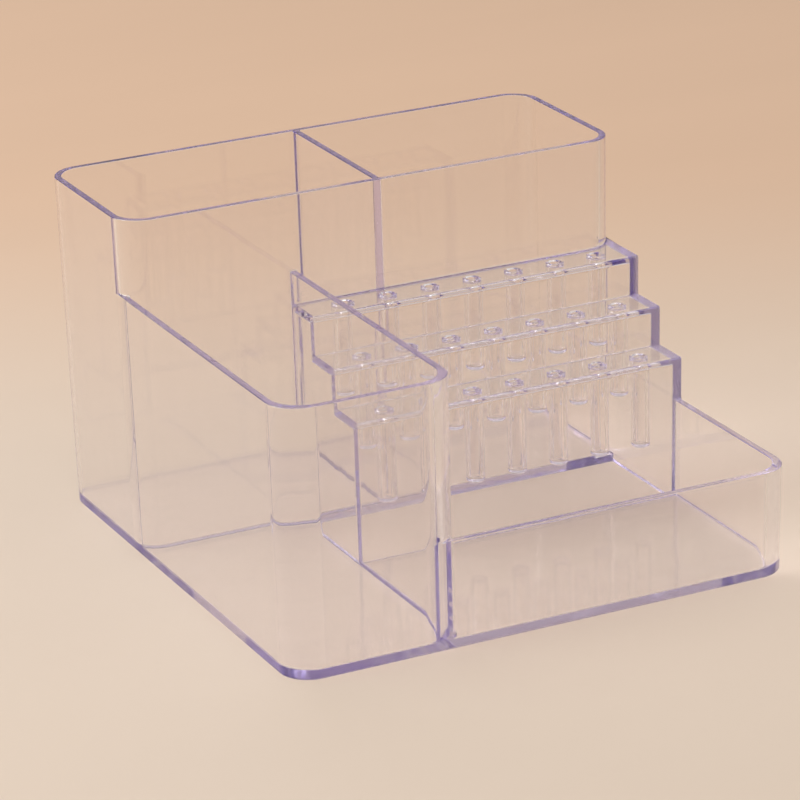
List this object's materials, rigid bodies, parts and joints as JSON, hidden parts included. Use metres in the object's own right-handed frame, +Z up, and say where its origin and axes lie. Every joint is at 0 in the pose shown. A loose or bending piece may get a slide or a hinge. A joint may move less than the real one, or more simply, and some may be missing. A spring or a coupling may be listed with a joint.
{
  "type": "nail drill holder",
  "caption": "Clear plastic desktop organiser: tall compartments behind, a front box, a low open tray, and a stepped rack of wells that hold nail drill bits upright.",
  "frame": {"origin": "middle of the base, in the plane that rests on the table", "axes": "+Z up, front towards -Y, front box on the left at -X, bit rack and tray on the right at +X"},
  "size_m": [0.173, 0.1767, 0.111],
  "materials": {
    "clear_plastic": "clear and polished, with a faint lavender tint in the edges"
  },
  "bodies": {
    "root": {"base_plate": "clear_plastic", "tall_shell": "clear_plastic", "tall_divider": "clear_plastic", "front_box_wall": "clear_plastic", "tray_wall": "clear_plastic", "rack_side_wall": "clear_plastic", "rack_tread_top": "clear_plastic", "rack_tread_middle": "clear_plastic", "rack_tread_front": "clear_plastic", "rack_riser_top": "clear_plastic", "rack_riser_middle": "clear_plastic", "rack_riser_front": "clear_plastic", "bit_well_top_1": "clear_plastic", "bit_well_top_2": "clear_plastic", "bit_well_top_3": "clear_plastic", "bit_well_top_4": "clear_plastic", "bit_well_top_5": "clear_plastic", "bit_well_top_6": "clear_plastic", "bit_well_top_7": "clear_plastic", "bit_well_middle_1": "clear_plastic", "bit_well_middle_2": "clear_plastic", "bit_well_middle_3": "clear_plastic", "bit_well_middle_4": "clear_plastic", "bit_well_middle_5": "clear_plastic", "bit_well_middle_6": "clear_plastic", "bit_well_middle_7": "clear_plastic", "bit_well_front_1": "clear_plastic", "bit_well_front_2": "clear_plastic", "bit_well_front_3": "clear_plastic", "bit_well_front_4": "clear_plastic", "bit_well_front_5": "clear_plastic", "bit_well_front_6": "clear_plastic", "bit_well_front_7": "clear_plastic"}
  },
  "joints": []
}
